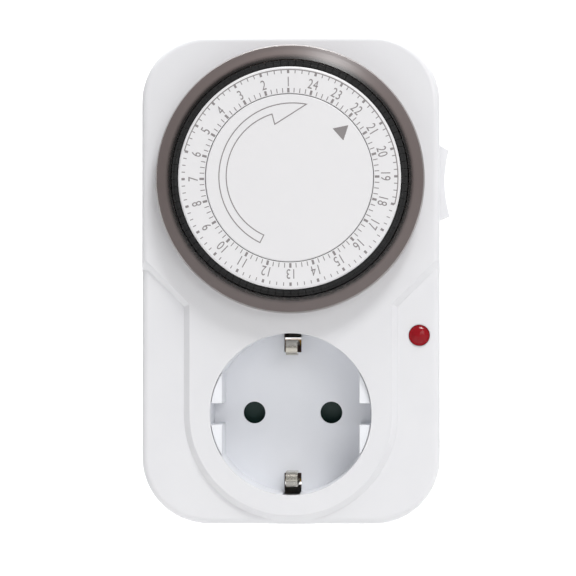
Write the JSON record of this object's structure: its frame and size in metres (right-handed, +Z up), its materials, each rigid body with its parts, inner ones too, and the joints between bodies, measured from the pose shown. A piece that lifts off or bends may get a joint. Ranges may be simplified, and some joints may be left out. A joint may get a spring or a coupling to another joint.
{
  "type": "plug in timer switch",
  "caption": "Plug-in mechanical day timer: rear plug, earthed front socket, clock dial with push-in tappets, side override rocker and lamp.",
  "frame": {"origin": "centre of the plug's face, between the two pins, where it meets a wall socket's floor", "axes": "+Y points into the wall along the pins, +Z up along the case, +X to the right seen from the front"},
  "size_m": [0.0746, 0.0785, 0.118],
  "materials": {
    "white_shell": "moulded ABS, satin gloss",
    "dial_white": "moulded ABS, printed",
    "socket_white": "moulded, satin",
    "smoked_ring": "smoked see-through plastic",
    "black_acetal": "moulded, satin",
    "lever_tan": "moulded, satin",
    "shutter_green": "moulded, satin",
    "phenolic_brown": "pressed phenolic",
    "contact_brass": "stamped",
    "nickel_plate": "nickel plated",
    "zinc_steel": "zinc plated",
    "gear_acetal": "moulded acetal",
    "ferrite": "moulded ferrite",
    "bobbin_nylon": "moulded nylon",
    "copper_winding": "enamelled copper wire",
    "lamp_red": "clear red plastic",
    "lamp_glass": "clear glass",
    "resistor_body": "lacquered",
    "lead_insulation": "PVC"
  },
  "bodies": {
    "case": {"front_housing": "white_shell", "rear_housing": "white_shell", "centre_disc": "dial_white", "socket_cup": "socket_white", "dial_bezel": "smoked_ring", "contact_carrier": "phenolic_brown", "switch_board": "phenolic_brown", "neutral_sleeve": "contact_brass", "live_sleeve": "contact_brass", "live_feed": "contact_brass", "earth_bridge": "contact_brass", "plug_pins": "nickel_plate", "earth_clips": "nickel_plate", "housing_screws": "zinc_steel", "carrier_screws": "zinc_steel", "plate_screws": "zinc_steel", "gear_arbors": "zinc_steel", "gear_plate": "zinc_steel", "stator_cup": "zinc_steel", "stator_plate": "zinc_steel", "dial_post": "zinc_steel", "shutter_spring": "zinc_steel", "clutch_washer": "zinc_steel", "dial_washer": "zinc_steel", "coil_bobbin": "bobbin_nylon", "coil_winding": "copper_winding", "lamp_lens": "lamp_red", "neon_lamp": "lamp_glass", "lamp_resistor": "resistor_body", "lead_wires": "lead_insulation"},
    "dial": {"tappet_carrier": "black_acetal", "hour_plate": "dial_white", "tappet_band": "black_acetal"},
    "tappets_01": {"tappets_01": "black_acetal"},
    "tappets_02": {"tappets_02": "black_acetal"},
    "tappets_03": {"tappets_03": "black_acetal"},
    "tappets_04": {"tappets_04": "black_acetal"},
    "tappets_05": {"tappets_05": "black_acetal"},
    "tappets_06": {"tappets_06": "black_acetal"},
    "tappets_07": {"tappets_07": "black_acetal"},
    "tappets_08": {"tappets_08": "black_acetal"},
    "tappets_09": {"tappets_09": "black_acetal"},
    "tappets_10": {"tappets_10": "black_acetal"},
    "tappets_11": {"tappets_11": "black_acetal"},
    "tappets_12": {"tappets_12": "black_acetal"},
    "drive_pinion": {"drive_pinion": "gear_acetal"},
    "clutch_wheel": {"clutch_wheel": "gear_acetal"},
    "gear_1": {"gear_1": "gear_acetal"},
    "gear_2": {"gear_2": "gear_acetal"},
    "gear_3": {"gear_3": "gear_acetal"},
    "gear_4": {"gear_4": "gear_acetal"},
    "gear_5": {"gear_5": "gear_acetal"},
    "rotor": {"rotor": "ferrite"},
    "trip_lever": {"trip_lever": "lever_tan"},
    "contact_blade": {"contact_blade": "contact_brass"},
    "override_rocker": {"override_rocker": "white_shell"},
    "shutter": {"shutter": "shutter_green"}
  },
  "joints": [
    {"name": "dial_spin", "type": "hinge", "parent": "case", "child": "dial", "pos_m": [0, -0.05, 0.0565], "axis": [0, -1, 0], "continuous": true},
    {"name": "tappets_01_press", "type": "slide", "parent": "dial", "child": "tappets_01", "axis": [0, 1, 0], "range_m": [0, 0.0024]},
    {"name": "tappets_02_press", "type": "slide", "parent": "dial", "child": "tappets_02", "axis": [0, 1, 0], "range_m": [0, 0.0024]},
    {"name": "tappets_03_press", "type": "slide", "parent": "dial", "child": "tappets_03", "axis": [0, 1, 0], "range_m": [0, 0.0024]},
    {"name": "tappets_04_press", "type": "slide", "parent": "dial", "child": "tappets_04", "axis": [0, 1, 0], "range_m": [0, 0.0024]},
    {"name": "tappets_05_press", "type": "slide", "parent": "dial", "child": "tappets_05", "axis": [0, 1, 0], "range_m": [0, 0.0024]},
    {"name": "tappets_06_press", "type": "slide", "parent": "dial", "child": "tappets_06", "axis": [0, 1, 0], "range_m": [0, 0.0024]},
    {"name": "tappets_07_press", "type": "slide", "parent": "dial", "child": "tappets_07", "axis": [0, 1, 0], "range_m": [0, 0.0024]},
    {"name": "tappets_08_press", "type": "slide", "parent": "dial", "child": "tappets_08", "axis": [0, 1, 0], "range_m": [0, 0.0024]},
    {"name": "tappets_09_press", "type": "slide", "parent": "dial", "child": "tappets_09", "axis": [0, 1, 0], "range_m": [0, 0.0024]},
    {"name": "tappets_10_press", "type": "slide", "parent": "dial", "child": "tappets_10", "axis": [0, 1, 0], "range_m": [0, 0.0024]},
    {"name": "tappets_11_press", "type": "slide", "parent": "dial", "child": "tappets_11", "axis": [0, 1, 0], "range_m": [0, 0.0024]},
    {"name": "tappets_12_press", "type": "slide", "parent": "dial", "child": "tappets_12", "axis": [0, 1, 0], "range_m": [0, 0.0024]},
    {"name": "drive_pinion_spin", "type": "hinge", "parent": "case", "child": "drive_pinion", "pos_m": [-0.01414, -0.043, 0.04236], "axis": [0, -1, 0], "continuous": true},
    {"name": "rotor_spin", "type": "hinge", "parent": "case", "child": "rotor", "pos_m": [0.00003, -0.027, 0.06083], "axis": [0, -1, 0], "continuous": true},
    {"name": "gear_1_spin", "type": "hinge", "parent": "case", "child": "gear_1", "pos_m": [-0.01088, -0.035, 0.05453], "axis": [0, -1, 0], "continuous": true},
    {"name": "gear_2_spin", "type": "hinge", "parent": "case", "child": "gear_2", "pos_m": [-0.01414, -0.035, 0.04236], "axis": [0, -1, 0], "continuous": true},
    {"name": "gear_3_spin", "type": "hinge", "parent": "case", "child": "gear_3", "pos_m": [-0.01088, -0.035, 0.05453], "axis": [0, -1, 0], "continuous": true},
    {"name": "gear_4_spin", "type": "hinge", "parent": "case", "child": "gear_4", "pos_m": [-0.01414, -0.035, 0.04236], "axis": [0, -1, 0], "continuous": true},
    {"name": "gear_5_spin", "type": "hinge", "parent": "case", "child": "gear_5", "pos_m": [-0.01088, -0.035, 0.05453], "axis": [0, -1, 0], "continuous": true},
    {"name": "clutch_wheel_spin", "type": "hinge", "parent": "case", "child": "clutch_wheel", "pos_m": [-0.01414, -0.035, 0.04236], "axis": [0, -1, 0], "continuous": true},
    {"name": "trip_lever_swing", "type": "hinge", "parent": "case", "child": "trip_lever", "pos_m": [-0.023, -0.046, 0.0855], "axis": [0, -1, 0], "range_deg": [-1.9, 0], "stiffness_Nm_per_rad": 0.02, "springref_deg": 5.73},
    {"name": "contact_blade_bend", "type": "hinge", "parent": "case", "child": "contact_blade", "pos_m": [0.0095, -0.027, 0.0838], "axis": [0, -1, 0], "range_deg": [-6.65, 0]},
    {"name": "override_rock", "type": "hinge", "parent": "case", "child": "override_rocker", "pos_m": [0.032, -0.037, 0.0565], "axis": [0, 1, 0], "range_deg": [0, 8]},
    {"name": "shutter_slide", "type": "slide", "parent": "case", "child": "shutter", "axis": [0, 0, 1], "range_m": [0, 0.0062], "stiffness_N_per_m": 60, "springref_m": -0.002, "deforming": ["shutter_spring"]}
  ],
  "couplings": [
    {"joint": "drive_pinion_spin", "follows": "dial_spin", "ratio": 9},
    {"joint": "gear_1_spin", "follows": "rotor_spin", "ratio": -0.125},
    {"joint": "gear_2_spin", "follows": "rotor_spin", "ratio": 0.015625},
    {"joint": "gear_3_spin", "follows": "rotor_spin", "ratio": -0.003125},
    {"joint": "gear_4_spin", "follows": "rotor_spin", "ratio": 0.000625},
    {"joint": "gear_5_spin", "follows": "rotor_spin", "ratio": -0.000125},
    {"joint": "clutch_wheel_spin", "follows": "rotor_spin", "ratio": 0.000025},
    {"joint": "contact_blade_bend", "follows": "trip_lever_swing", "ratio": 3.5}
  ]
}
